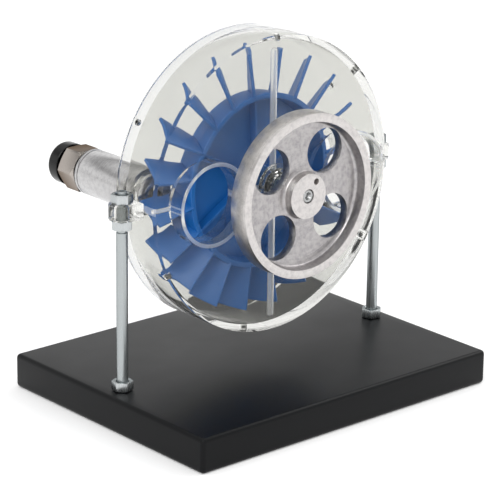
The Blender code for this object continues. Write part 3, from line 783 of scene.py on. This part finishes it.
@dataclass
class Drum(OnDrum):
    """The clear casing: a tube with a thick plate let into each end, and two exhaust tubes.

    In front, one upright and one level bore run through the plate, and the two exhaust tubes
    stand on it. They are bonded, so all is drawn as one clear body.
    """

    sides: int = 256
    wall: float = 0.003
    edge: float = 0.0004
    hole_sides: int = 144
    bore_sides: int = 48
    exhaust_bore: float = 0.0204
    exhaust_offset: float = 0.048
    exhaust_sunk: float = 0.0015
    port_radius: float = 0.0104
    port_offset: float = 0.0595
    seat_radius: float = 0.0078
    upright_bore_radius: float = 0.0020
    upright_bore_reach: float = 0.0735
    bore_tip: float = 0.0012
    cross_bore_radius: float = 0.0012
    cross_bore_reach: float = 0.080
    recess_radius: float = 0.0026
    recess_inner: float = 0.0145
    recess_outer: float = 0.0195
    recess_round: float = 0.0008
    frost_slack: float = 0.1 * MILLIMETRE
    frost_facing: float = 0.3
    screw_radius: float = 0.0014
    screw_length: float = 0.0022
    screw_sunk: float = 0.0007
    screw_chamfer: float = 0.0003
    screw_sides: int = 24
    screw_hole_sides: int = 32
    socket_radius: float = 0.0008
    socket_depth: float = 0.0010
    front_screw_forward: float = 0.0122
    front_screws: tuple[float, ...] = (2.0, 122.0, 242.0)
    back_screws: tuple[float, ...] = (60.0, 180.0, 300.0)

    def build(self) -> None:
        """Build the tube with its plates and exhaust tubes, and the screws in its wall."""
        _, plate_front, front_inner = extent("front_plate")
        front_middle = (plate_front + front_inner) / 2
        _, back_inner, plate_back = extent("back_plate")
        back_middle = (back_inner + plate_back) / 2
        exhaust_radius, exhaust_end, _ = extent("exhaust_tube_left")
        rows = (
            ("front", self.front_screw_forward, self.front_screws),
            ("back", back_middle, self.back_screws),
        )
        cutters = self.bores(front_middle)
        cutters += self.through_holes(self.exhaust_bore, self.exhaust_offset, front_inner, exhaust_end)
        cutters += self.through_holes(self.port_radius, self.port_offset, self.drum.back, back_inner)
        cutters += [self.screw_hole(forward, angle) for _, forward, angles in rows for angle in angles]
        stubs = [self.exhaust_stub(side, exhaust_radius, exhaust_end) for side in (-1, 1)]
        shell = joined(self.shell(front_inner, back_inner), stubs, "UNION")
        shell = joined(shell, cutters, "DIFFERENCE")
        stands_for = ("casing_ring", "front_plate", "back_plate", "exhaust_tube_left", "exhaust_tube_right")
        clear = add_piece("clear_drum", shell, self.drum.place(), ACRYLIC, Body.STAND, stands_for)
        self.frost(clear, front_middle)
        for row, forward, angles in rows:
            for number, angle in enumerate(angles, start=1):
                self.build_screw(f"rim_screw_{row}_{number}", forward, angle)

    def frost(self, clear: bpy.types.Object, forward: float) -> None:
        """Give the sawn finish to the exhaust tubes' ends and to the walls of the drilled bores.

        Args:
            clear: The drum's object.
            forward: Forward place of the bores.
        """
        clear.data.materials.append(SAWN_ACRYLIC.material())
        for face in clear.data.polygons:
            centre = face.center
            ahead = -centre.y - forward
            up = centre.z - self.drum.height
            exhaust_end = -centre.y > self.drum.front + self.edge and -face.normal.y > self.frost_facing
            upright = sqrt(centre.x**2 + ahead**2) < self.upright_bore_radius + self.frost_slack
            level = sqrt(up**2 + ahead**2) < self.recess_radius + self.frost_slack
            bored = (upright and abs(up) > self.seat_radius) or (level and abs(centre.x) > self.seat_radius)
            if exhaust_end or bored:
                face.material_index = 1

    def shell(self, front_inner: float, back_inner: float) -> Shape:
        """The tube with both plates bonded into it, as one clear body with no joint to be seen.

        Args:
            front_inner: Forward place of the front plate's inner face.
            back_inner: Forward place of the back plate's inner face.

        Returns:
            A closed mesh with the bearing seats open.
        """
        radius, front, back = self.drum.radius, self.drum.front, self.drum.back
        inner = radius - self.wall
        outline = [
            (radius, front), (radius, back), (inner, back), (self.seat_radius, back),
            (self.seat_radius, back_inner), (inner, back_inner), (inner, front_inner),
            (self.seat_radius, front_inner), (self.seat_radius, front), (inner, front),
        ]
        return eased(turned(outline, self.sides), self.edge)

    def exhaust_stub(self, side: int, radius: float, end: float) -> Shape:
        """The outside of one exhaust tube, sunk into the plate that it is bonded to.

        Args:
            side: -1 for the left one, 1 for the right one.
            radius: Its outer radius.
            end: Forward place of the tube's end.

        Returns:
            A closed solid that is bored afterwards.
        """
        foot = self.drum.front - self.exhaust_sunk
        edge = self.edge
        outline = [(0, end), (radius - edge, end), (radius, end - edge), (radius, foot), (0, foot)]
        return placed(turned(outline, self.hole_sides, closed=False), moved(side * self.exhaust_offset))

    def through_holes(self, radius: float, offset: float, low: float, high: float) -> list[Shape]:
        """Cutters for a like pair of holes left and right of the axis."""
        wide = radius + CUT_PAST + self.edge
        outline = [
            (0, high + CUT_PAST), (wide, high + CUT_PAST), (radius, high - self.edge),
            (radius, low + self.edge), (wide, low - CUT_PAST), (0, low - CUT_PAST),
        ]
        return [placed(turned(outline, self.hole_sides, closed=False), moved(x)) for x in (-offset, offset)]

    def bores(self, forward: float) -> list[Shape]:
        """Cutters for the passages that are drilled across the front plate.

        Args:
            forward: The plate's middle.

        Returns:
            One upright bore with rounded ends, one level bore and its two recesses.
        """
        # The drill's rounded tip, as shares of the bore's radius and of the tip's length
        rounding = ((0.0, 0.0), (0.55, 0.2), (0.88, 0.6), (1.0, 1.2))
        upper = [
            (self.upright_bore_radius * out, self.upright_bore_reach - self.bore_tip * down)
            for out, down in rounding
        ]
        outline = upper + [(radius, -height) for radius, height in reversed(upper)]
        middle = moved(0, 0, forward)
        upright = middle @ Matrix.Rotation(-pi / 2, 4, "X")
        level = middle @ Matrix.Rotation(pi / 2, 4, "Y")
        cross = bar(self.cross_bore_radius, -self.cross_bore_reach, self.cross_bore_reach, self.bore_sides)
        cutters = [placed(turned(outline, self.bore_sides, closed=False), upright), placed(cross, level)]
        for near, far in ((self.recess_inner, self.recess_outer), (-self.recess_outer, -self.recess_inner)):
            recess = eased(bar(self.recess_radius, near, far, self.bore_sides), self.recess_round, 4)
            cutters.append(placed(recess, level))
        return cutters

    def screw_place(self, forward: float, angle: float) -> Matrix:
        """Turns local Z outwards at a clock angle, so far forward of the drum's middle."""
        outward = Matrix.Rotation(radians(-angle), 4, "Z") @ Matrix.Rotation(-pi / 2, 4, "X")
        return moved(0, 0, forward) @ outward

    def screw_hole(self, forward: float, angle: float) -> Shape:
        """Cutter for one screw's hole, through the wall and just into the plate's edge."""
        low = self.drum.radius - self.wall - GAP
        hole = bar(self.screw_radius + GAP, low, self.drum.radius + CUT_PAST, self.screw_hole_sides)
        return placed(hole, self.screw_place(forward, angle))

    def build_screw(self, node: str, forward: float, angle: float) -> None:
        """One grub screw with a hexagon socket.

        Args:
            node: The CAD node that it stands for.
            forward: Its place along the drum.
            angle: Its clock angle.
        """
        radius = self.screw_radius
        high = self.drum.radius - self.screw_sunk
        low = high - self.screw_length
        chamfer = self.screw_chamfer
        outline = [
            (0, high), (radius - chamfer, high), (radius, high - chamfer),
            (radius, low + chamfer), (radius - chamfer, low), (0, low),
        ]
        socket = bar(self.socket_radius, high - self.socket_depth, high + CUT_PAST, 6)
        screw = joined(turned(outline, self.screw_sides, closed=False), [socket], "DIFFERENCE")
        place = self.drum.place() @ self.screw_place(forward, angle)
        add_piece(f"grub_{node}", screw, place, BLACK_STEEL, Body.STAND, (node,))


@dataclass
class Bearings(OnDrum):
    """A shielded ball bearing and a clear stepped boss at the middle of each plate."""

    sides: int = 96
    boss_edge: float = 0.0003
    race: float = 0.0012
    race_edge: float = 0.0001
    shield_sink: float = 0.0003
    shield_gap: float = 0.00008
    shaft_clear: float = 0.0038
    bore_radius: float = 0.0060
    flange: float = 0.0025
    nose_radius: float = 0.0098
    lip: float = 0.0016

    def build(self) -> None:
        """Both bearings, then both bosses."""
        for row in ("front", "back"):
            self.build_bearing(f"{row}_bearing")
        self.build_boss("front_bearing_boss", 1)
        self.build_boss("back_bearing_boss", -1)

    def build_bearing(self, node: str) -> None:
        """Outer race, inner race and the shields between them, as rings that don't touch."""
        radius, front, back = extent(node)
        race_inner = radius - self.race
        race_outer = self.shaft_clear + self.race
        races = (
            ring_outline(radius, race_inner, front, back),
            ring_outline(race_outer, self.shaft_clear, front, back),
        )
        rings = [eased(turned(race, self.sides), self.race_edge) for race in races]
        gap, sink = self.shield_gap, self.shield_sink
        shield = ring_outline(race_inner - gap, race_outer + gap, front - sink, back + sink)
        rings.append(turned(shield, self.sides))
        place = self.drum.place()
        add_piece(f"shielded_{node}", gathered(rings), place, BEARING_STEEL, Body.STAND, (node,))

    def build_boss(self, node: str, out: int) -> None:
        """One stepped boss.

        Args:
            node: The CAD node that it stands for.
            out: 1 if it stands forward of its plate, -1 if it stands backward.
        """
        radius, front, back = extent(node)
        start, end = (back, front) if out > 0 else (front, back)
        step = start + out * self.flange
        outline = [
            (self.bore_radius + self.lip, end), (self.nose_radius, end),
            (self.nose_radius, step), (radius, step), (radius, start),
            (self.bore_radius, start), (self.bore_radius, end - out * self.lip),
        ]
        boss = eased(turned(outline, self.sides), self.boss_edge, 2)
        add_piece(f"clear_{node}", boss, self.drum.place(), ACRYLIC, Body.STAND, (node,))


@dataclass
class TurbineWheel(OnDrum):
    """The one-piece blue wheel: a ribbed dish with a boss and twenty curved blades."""

    sides: int = 160
    dish_radius: float = 0.048
    dish_wall: float = 0.003
    web: float = 0.004
    edge: float = 0.0004
    boss_radius: float = 0.009
    bore_radius: float = 0.0038
    blades: int = 20
    tip_radius: float = 0.071
    sweep: float = 8.2
    camber: float = 0.35
    thickness: float = 0.0018
    edge_margin: float = 0.0008
    root_sink: float = 0.0012
    chord_steps: int = 14
    span_steps: int = 4
    blade_phase: float = 30.2
    ribs: int = 6
    rib_thickness: float = 0.0018
    rib_height: float = 0.005
    rib_sink: float = 0.001
    rib_edge: float = 0.0003
    rib_phase: float = 58.5

    def build(self) -> None:
        """The dish with its ribs, then the ring of blades."""
        _, front, back = extent("turbine_wheel")
        web_front = back + self.web
        wall_inner = self.dish_radius - self.dish_wall
        outline = [
            (self.dish_radius, front), (self.dish_radius, back), (self.bore_radius, back),
            (self.bore_radius, front), (self.boss_radius, front), (self.boss_radius, web_front),
            (wall_inner, web_front), (wall_inner, front),
        ]
        dish = eased(turned(outline, self.sides), self.edge, 3)
        ribs = [self.rib(web_front, wall_inner, index) for index in range(self.ribs)]
        dish = joined(dish, ribs, "UNION")
        blades = gathered([self.blade(front, back, index) for index in range(self.blades)])
        place = self.drum.place()
        add_piece("wheel_dish", dish, place, BLUE, Body.ROTOR, ("turbine_wheel",))
        add_piece("wheel_blades", blades, place, BLUE, Body.ROTOR)

    def rib(self, web_front: float, wall_inner: float, index: int) -> Shape:
        """One straight rib from the boss to the dish's wall, on the web."""
        inner = self.boss_radius - self.rib_sink
        outer = wall_inner + self.dish_wall / 2
        sink = self.rib_sink
        bm = bmesh.new()
        bmesh.ops.create_cube(bm, size=1.0)
        size = (self.rib_thickness, outer - inner, self.rib_height + sink)
        bmesh.ops.scale(bm, vec=size, verts=bm.verts)
        middle = (0, (inner + outer) / 2, web_front + (self.rib_height - sink) / 2)
        bmesh.ops.translate(bm, vec=middle, verts=bm.verts)
        turn = radians(-self.rib_phase - 360 / self.ribs * index)
        return placed(eased(bm, self.rib_edge, 2), Matrix.Rotation(turn, 4, "Z"))

    def blade(self, front: float, back: float, index: int) -> Shape:
        """One blade: a grid bent to a shallow scoop and given its thickness.

        Args:
            front: Forward place of the wheel's front.
            back: Forward place of the wheel's back.
            index: Which blade, clockwise.

        Returns:
            A closed mesh.
        """
        bm = bmesh.new()
        bmesh.ops.create_grid(bm, x_segments=self.chord_steps, y_segments=self.span_steps, size=0.5)
        root = self.dish_radius - self.root_sink
        first = front - self.edge_margin
        last = back + self.edge_margin
        centre = self.blade_phase + 360 / self.blades * index
        for vert in bm.verts:
            along = vert.co.x + 0.5
            out = vert.co.y + 0.5
            bow = self.camber * along * (1 - along)
            # The bow's mean over the chord is a sixth of the camber
            angle = centre + self.sweep * (along + bow - 0.5 - self.camber / 6)
            right, up = clock(root + out * (self.tip_radius - root), angle)
            vert.co = (right, up, first + along * (last - first))
        bmesh.ops.recalc_face_normals(bm, faces=bm.faces)
        return self.thickened(bm)

    def thickened(self, bm: Shape) -> Shape:
        """Give a blade's middle surface its thickness, half to each side, and ease its edges."""
        bm.normal_update()
        for vert in bm.verts:
            vert.co -= vert.normal * self.thickness / 2
        bmesh.ops.solidify(bm, geom=bm.faces[:], thickness=self.thickness)
        bmesh.ops.recalc_face_normals(bm, faces=bm.faces)
        return eased(bm, self.edge, 3, 50)


@dataclass
class Flywheel(OnDrum):
    """The turned aluminium flywheel with four holes, a hub and a pin hole."""

    sides: int = 220
    rim: float = 0.0045
    recess: float = 0.006
    hub_radius: float = 0.012
    hub_set_back: float = 0.0006
    tail_radius: float = 0.009
    tail: float = 0.004
    bore_radius: float = 0.0038
    holes: int = 4
    hole_radius: float = 0.0121
    hole_circle: float = 0.026
    hole_sides: int = 96
    rest_turn: float = 37.0
    pin_radius: float = 0.0017
    pin_circle: float = 0.0088
    pin_depth: float = 0.006
    pin_sides: int = 32
    wall_lean: float = 0.0006
    fillet: float = 0.0018
    fillet_steps: int = 5
    edge: float = 0.00035
    colour: str = "#CDC9C7"
    roughness: float = 0.32
    # Painted shade on the web, the floor of the recess
    web_painted_shade: float = 0.42

    def build(self) -> None:
        """Turn the wheel, cut its holes and dress it."""
        radius, front, tail_end = extent("flywheel")
        back = tail_end + self.tail
        web = front - self.recess
        rim_inner = radius - self.rim
        hub_front = front - self.hub_set_back
        hub_corner = quarter_round(self.hub_radius, web, self.fillet, -1, self.fillet_steps)
        rim_corner = quarter_round(rim_inner - self.wall_lean, web, self.fillet, 1, self.fillet_steps)
        outline = [
            (radius, front), (radius, back), (self.tail_radius, back),
            (self.tail_radius, tail_end), (self.bore_radius, tail_end),
            (self.bore_radius, hub_front), (self.hub_radius, hub_front),
            *hub_corner,
            *reversed(rim_corner), (rim_inner, front),
        ]
        cutters = []
        for index in range(self.holes):
            right, up = clock(self.hole_circle, self.rest_turn + 360 / self.holes * index)
            hole = bar(self.hole_radius, back - CUT_PAST, web + CUT_PAST, self.hole_sides)
            cutters.append(placed(hole, moved(right, up)))
        pin = bar(self.pin_radius, hub_front - self.pin_depth, hub_front + CUT_PAST, self.pin_sides)
        cutters.append(placed(pin, moved(*clock(self.pin_circle, self.rest_turn))))
        wheel = joined(turned(outline, self.sides), cutters, "DIFFERENCE")
        finish = TurnedAluminium(
            "turned aluminium flywheel",
            Slot.ALUMINIUM,
            self.colour,
            self.roughness,
            1.0,
            axis_z=self.drum.height,
            web_painted_shade=self.web_painted_shade,
        )
        wheel = eased(wheel, self.edge, 2, 40)
        add_piece("flywheel_turned", wheel, self.drum.place(), finish, Body.ROTOR, ("flywheel",))


@dataclass
class Shaft(OnDrum):
    """The ground steel shaft with its spacer and rear collar."""

    sides: int = 72
    edge: float = 0.0004
    sleeve_edge: float = 0.0003
    centre_radius: float = 0.0021
    centre_depth: float = 0.0018
    centre_floor_share: float = 0.45
    bore_radius: float = 0.0038

    def build(self) -> None:
        """The shaft with its centre hole, then the two sleeves on it."""
        radius, front, back = extent("shaft")
        floor = front - self.centre_depth
        outline = [
            (0, floor), (self.centre_radius * self.centre_floor_share, floor),
            (self.centre_radius, front), (radius - self.edge, front),
            (radius, front - self.edge), (radius, back + self.edge), (radius - self.edge, back),
            (0, back),
        ]
        shaft = turned(outline, self.sides, closed=False)
        place = self.drum.place()
        add_piece("ground_shaft", shaft, place, BEARING_STEEL, Body.ROTOR, ("shaft",))
        for node in ("shaft_spacer", "rear_collar"):
            radius, front, back = extent(node)
            ring = ring_outline(radius, self.bore_radius, front, back)
            sleeve = eased(turned(ring, self.sides), self.sleeve_edge)
            add_piece(f"turned_{node}", sleeve, place, ZINC, Body.ROTOR, (node,))


@dataclass
class AirInlet(OnDrum):
    """The nozzle body, its seal, the hexagon fitting and the fitting's release collar."""

    sides: int = 128
    spigot_radius: float = 0.0100
    bore_radius: float = 0.006
    jet_radius: float = 0.003
    jet_length: float = 0.012
    cone: float = 0.006
    groove_at: float = 0.0018
    groove_width: float = 0.0006
    groove_depth: float = 0.0006
    nozzle_edge: float = 0.00025
    nozzle_colour: str = "#BDBCBC"
    nozzle_roughness: float = 0.2
    seal_round: float = 0.0005
    across_flats: float = 0.022
    hex_face_share: float = 0.95
    hex_chamfer_angle: float = 30.0
    hex_edge: float = 0.0002
    socket_radius: float = 0.0088
    socket_floor: float = 0.004
    socket_lead: float = 0.0006
    washer: float = 0.0009
    collar_sleeve: float = 0.0070
    collar_sleeve_radius: float = 0.0083
    collar_bore: float = 0.0061
    collar_lead: float = 0.0008
    collar_edge: float = 0.0003
    collar_round: float = 0.0024
    collar_steps: int = 8

    def build(self) -> None:
        """The four pieces on the inlet's axis."""
        low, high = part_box("nozzle_body")
        right = (low.x + high.x) / 2
        place = self.drum.place(right)
        self.build_nozzle(right, place)
        self.build_seal(place)
        self.build_hexagon(place)
        self.build_collar(place)

    def build_nozzle(self, right: float, place: Matrix) -> None:
        """The turned body, with the jet's bore through it and a groove near its end."""
        radius, jet_face, end = extent("nozzle_body")
        shoulder = self.drum.back - GAP
        step = jet_face - self.jet_length
        groove = end + self.groove_at
        groove_top = groove + self.groove_width
        groove_floor = radius - self.groove_depth
        outline = [
            (self.spigot_radius, jet_face), (self.spigot_radius, shoulder), (radius, shoulder),
            (radius, groove_top), (groove_floor, groove_top), (groove_floor, groove),
            (radius, groove), (radius, end), (self.bore_radius, end),
            (self.bore_radius, step - self.cone), (self.jet_radius, step),
            (self.jet_radius, jet_face),
        ]
        nozzle = eased(turned(outline, self.sides), self.nozzle_edge, 2)
        finish = TurnedAluminium(
            "turned aluminium nozzle",
            Slot.ALUMINIUM,
            self.nozzle_colour,
            self.nozzle_roughness,
            1.0,
            right,
            self.drum.height,
        )
        add_piece("air_nozzle", nozzle, place, finish, Body.STAND, ("nozzle_body",))

    def build_seal(self, place: Matrix) -> None:
        """The rubber ring between the nozzle and the fitting."""
        radius, front, back = extent("nozzle_seal")
        ring = ring_outline(radius, self.bore_radius, front, back)
        seal = eased(turned(ring, self.sides), self.seal_round, 4)
        add_piece("rubber_seal", seal, place, RUBBER, Body.STAND, ("nozzle_seal",))

    def build_hexagon(self, place: Matrix) -> None:
        """The plated hexagon with chamfered corners, a washer face and the hose's socket."""
        _, front, back = extent("fitting_hex")
        corner = self.across_flats / sqrt(3)
        face = self.across_flats / 2 * self.hex_face_share
        drop = (corner - face) * tan(radians(self.hex_chamfer_angle))
        stock = placed(bar(corner, back, front, 6), Matrix.Rotation(pi / 6, 4, "Z"))
        washer = front - self.washer
        floor = front - self.socket_floor
        outline = [
            (face, front), (face, washer), (corner + GAP, washer - drop),
            (corner + GAP, back + drop), (face, back),
            (self.socket_radius + self.socket_lead, back),
            (self.socket_radius, back + self.socket_lead), (self.socket_radius, floor),
            (self.bore_radius, floor), (self.bore_radius, front),
        ]
        fitting = joined(stock, [turned(outline, self.sides)], "INTERSECT")
        fitting = eased(fitting, self.hex_edge, 3, 25)
        add_piece("plated_hexagon", fitting, place, NICKEL, Body.STAND, ("fitting_hex",))

    def build_collar(self, place: Matrix) -> None:
        """The black release collar, domed at its outer edge."""
        radius, sleeve_end, end = extent("release_collar")
        start = sleeve_end - self.collar_sleeve
        outline = [
            (self.collar_sleeve_radius, sleeve_end), (self.collar_sleeve_radius, start),
            (radius - self.collar_edge, start), (radius, start - self.collar_edge),
            *quarter_round(radius, end, self.collar_round, 1, self.collar_steps),
            (self.collar_bore + self.collar_lead, end),
            (self.collar_bore, end + self.collar_lead), (self.collar_bore, sleeve_end),
        ]
        collar = turned(outline, self.sides)
        add_piece("push_collar", collar, place, ACETAL, Body.COLLAR, ("release_collar",))


@dataclass
class Studio:
    """The floor, the soft light and the camera.

    The camera's place was fitted to the photograph. The sky's tones are steps of height and
    brightness, from straight down (0) to straight up (1), and each lamp has a name, a place, a
    size and a power in watts.
    """

    floor_size: float = 30.0
    floor_colour: str = "#F6F6F6"
    floor_glow: float = 0.1
    azimuth: float = -41.28
    elevation: float = 18.33
    roll: float = 0.77
    distance: float = 1.34839
    target: tuple[float, float, float] = (-0.00635, -0.00463, 0.07936)
    lens: float = 183.08
    sensor: float = 36.0
    sky: tuple[tuple[float, float], ...] = (
        (0.0, 1.0), (0.15, 1.2), (0.34, 1.1), (0.5, 0.45), (0.8, 1.2), (1.0, 1.35),
    )
    lamps: tuple[tuple[str, tuple[float, float, float], float, float], ...] = (
        ("left soft box", (-1.6, -1.2, 1.8), 1.4, 22.0),
        ("right soft box", (1.8, -0.4, 1.6), 1.2, 12.0),
    )

    def build(self) -> None:
        """Set up everything that isn't part of the model."""
        self.build_camera()
        self.build_floor()
        self.build_sky()
        self.build_lamps()
        bpy.context.scene.view_settings.view_transform = "Standard"

    def build_camera(self) -> None:
        """A long lens at the photograph's angle, with its slight roll."""
        across, up_angle, roll = (radians(angle) for angle in (self.azimuth, self.elevation, self.roll))
        back = Vector((sin(across) * cos(up_angle), -cos(across) * cos(up_angle), sin(up_angle)))
        right = Vector((cos(across), sin(across), 0))
        up = back.cross(right)
        right, up = right * cos(roll) + up * sin(roll), up * cos(roll) - right * sin(roll)
        data = bpy.data.cameras.new("camera")
        data.lens = self.lens
        data.sensor_width = self.sensor
        camera = linked("camera", data)
        turn = Matrix((right, up, back)).transposed().to_4x4()
        camera.matrix_world = Matrix.Translation(Vector(self.target) + back * self.distance) @ turn
        bpy.context.scene.camera = camera

    def build_floor(self) -> None:
        """A plain pale floor under the board."""
        bm = bmesh.new()
        bmesh.ops.create_grid(bm, x_segments=1, y_segments=1, size=self.floor_size / 2)
        mesh = bpy.data.meshes.new("floor")
        bm.to_mesh(mesh)
        bm.free()
        paper = bpy.data.materials.new("white paper floor")
        paper.use_nodes = True
        shader = paper.node_tree.nodes["Principled BSDF"]
        shader.inputs["Base Color"].default_value = to_linear(self.floor_colour)
        shader.inputs["Roughness"].default_value = 1.0
        shader.inputs["Specular IOR Level"].default_value = 0.0
        shader.inputs["Emission Color"].default_value = to_linear(self.floor_colour)
        shader.inputs["Emission Strength"].default_value = self.floor_glow
        mesh.materials.append(paper)
        floor = linked("floor", mesh)

    def build_sky(self) -> None:
        """White wherever it is seen directly or through acrylic, with greys for things to mirror."""
        world = bpy.data.worlds.new("studio")
        world.use_nodes = True
        tree = world.node_tree
        where = add_node(tree, "TexCoord", {}).outputs["Generated"]
        height = add_node(tree, "SeparateXYZ", {"Vector": where}).outputs["Z"]
        ramp = add_node(tree, "ValToRGB", {"Fac": height})
        elements = ramp.color_ramp.elements
        for number, (place, level) in enumerate(self.sky):
            element = elements[number] if number < 2 else elements.new(place)
            element.position = place
            element.color = (level, level, level, 1.0)
        mirrored = add_node(tree, "LightPath", {}).outputs["Is Glossy Ray"]
        tones = {0: mirrored, 6: (1.0, 1.0, 1.0, 1.0), 7: ramp.outputs["Color"]}
        seen = add_node(tree, "Mix", tones, data_type="RGBA")
        background = tree.nodes["Background"]
        tree.links.new(seen.outputs[2], background.inputs["Color"])
        background.inputs["Strength"].default_value = 1.0
        bpy.context.scene.world = world

    def build_lamps(self) -> None:
        """Large soft lamps above left and above right."""
        for name, place, size, power in self.lamps:
            data = bpy.data.lights.new(name, "AREA")
            data.size = size
            data.energy = power
            lamp = linked(name, data)
            lamp.location = place
            aim = Vector(self.target) - Vector(place)
            lamp.rotation_mode = "QUATERNION"
            lamp.rotation_quaternion = aim.to_track_quat("-Z", "Y")


def main() -> None:
    """Build the studio and every sub-assembly."""
    logging.basicConfig(level=logging.INFO, format="%(name)s %(message)s")
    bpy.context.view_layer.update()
    Studio().build()
    drum = DrumFrame.from_cad()
    Board().build()
    Posts().build()
    for assembly in (Lugs, Drum, Bearings, TurbineWheel, Flywheel, Shaft, AirInlet):
        assembly(drum).build()


if __name__ == "__main__":
    main()
